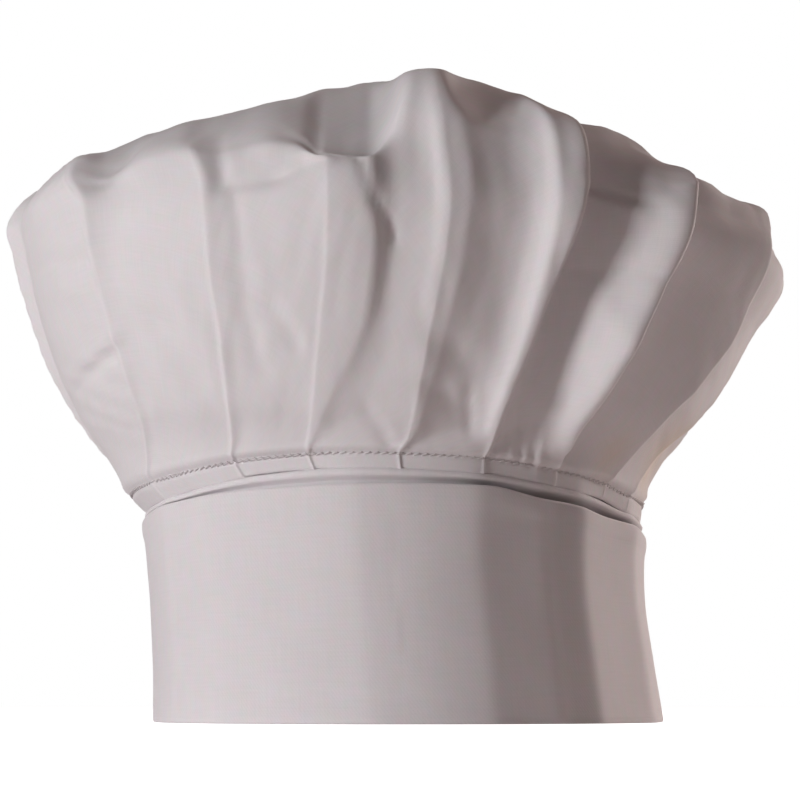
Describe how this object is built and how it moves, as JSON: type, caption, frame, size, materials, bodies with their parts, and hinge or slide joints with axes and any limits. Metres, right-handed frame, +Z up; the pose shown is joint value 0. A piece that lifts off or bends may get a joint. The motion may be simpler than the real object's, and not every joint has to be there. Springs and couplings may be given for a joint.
{
  "type": "pleated chef hat",
  "caption": "Tall white cotton chef hat: stiff upright twill band, and a full floppy crown laid in knife pleats onto a narrow binding inside the band.",
  "frame": {"origin": "middle of the whole hat's footprint, on the plane that the band's lower edge stands on", "axes": "+Z up along the band and crown; -Y towards the front of the hat; +X towards the wearer's left, which is the right of the picture"},
  "size_m": [0.2686, 0.2696, 0.2037],
  "materials": {
    "twill": "matte",
    "binding": "matte",
    "cotton": "matte"
  },
  "bodies": {
    "root": {"band": "twill", "neck_binding": "binding", "crown": "cotton"}
  },
  "joints": []
}
